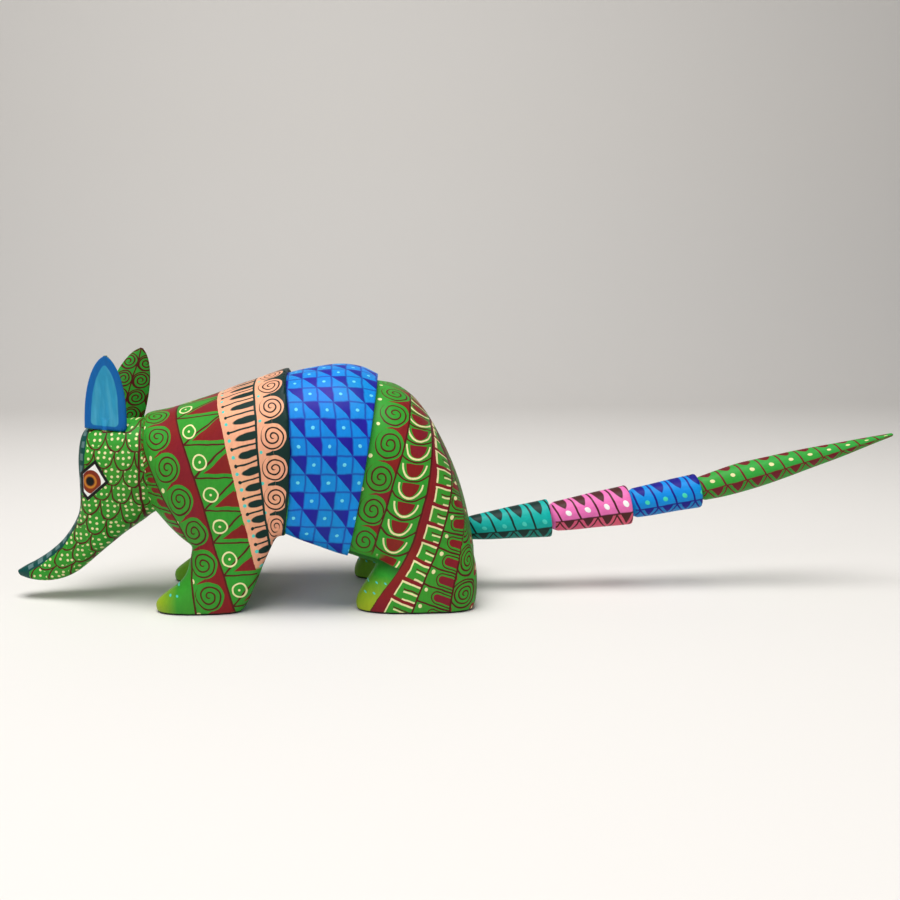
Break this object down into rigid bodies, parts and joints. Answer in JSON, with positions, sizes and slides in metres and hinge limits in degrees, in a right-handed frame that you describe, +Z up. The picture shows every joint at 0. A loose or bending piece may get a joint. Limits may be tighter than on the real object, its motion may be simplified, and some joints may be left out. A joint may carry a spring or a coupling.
{
  "type": "alebrije armadillo figure",
  "caption": "Carved and painted wooden armadillo figure with push-fit ears and a tail of nested links that wags from side to side.",
  "frame": {"origin": "on the ground, under the middle of the figure's whole length and width", "axes": "+X from the nose towards the tail tip, +Y towards the figure's right side, +Z up"},
  "size_m": [0.3348, 0.07, 0.0925],
  "materials": {
    "body_paint": "satin acrylic paint in bands of green, peach and blue",
    "ear_paint": "satin acrylic paint, blue inside and green behind",
    "tail_teal": "satin acrylic paint",
    "tail_pink": "satin acrylic paint",
    "tail_blue": "satin acrylic paint",
    "tail_green": "satin acrylic paint",
    "pin_wood": "bare whittled wood"
  },
  "bodies": {
    "figure": {"body": "body_paint", "tail_pin_1": "pin_wood"},
    "ear_left": {"ear_left": "ear_paint"},
    "ear_right": {"ear_right": "ear_paint"},
    "tail_1": {"tail_link_1": "tail_teal", "tail_pin_2": "pin_wood"},
    "tail_2": {"tail_link_2": "tail_pink", "tail_pin_3": "pin_wood"},
    "tail_3": {"tail_link_3": "tail_blue", "tail_pin_4": "pin_wood"},
    "tail_tip": {"tail_tip": "tail_green"}
  },
  "joints": [
    {"name": "ear_left_pull", "type": "slide", "parent": "figure", "child": "ear_left", "axis": [0.0698, -0.1561, 0.9853], "range_m": [0, 0.014]},
    {"name": "ear_right_pull", "type": "slide", "parent": "figure", "child": "ear_right", "axis": [0.2756, 0.1504, 0.9494], "range_m": [0, 0.014]},
    {"name": "tail_wag_1", "type": "hinge", "parent": "figure", "child": "tail_1", "pos_m": [-0.00293, 0, 0.0232], "axis": [0, 0, 1], "range_deg": [-10, 10]},
    {"name": "tail_wag_2", "type": "hinge", "parent": "tail_1", "child": "tail_2", "pos_m": [0.02906, 0, 0.0269], "axis": [0, 0, 1], "range_deg": [-15, 15]},
    {"name": "tail_wag_3", "type": "hinge", "parent": "tail_2", "child": "tail_3", "pos_m": [0.05991, 0, 0.03157], "axis": [0, 0, 1], "range_deg": [-15, 15]},
    {"name": "tail_wag_4", "type": "hinge", "parent": "tail_3", "child": "tail_tip", "pos_m": [0.08704, 0, 0.03664], "axis": [0, 0, 1], "range_deg": [-15, 15]}
  ]
}
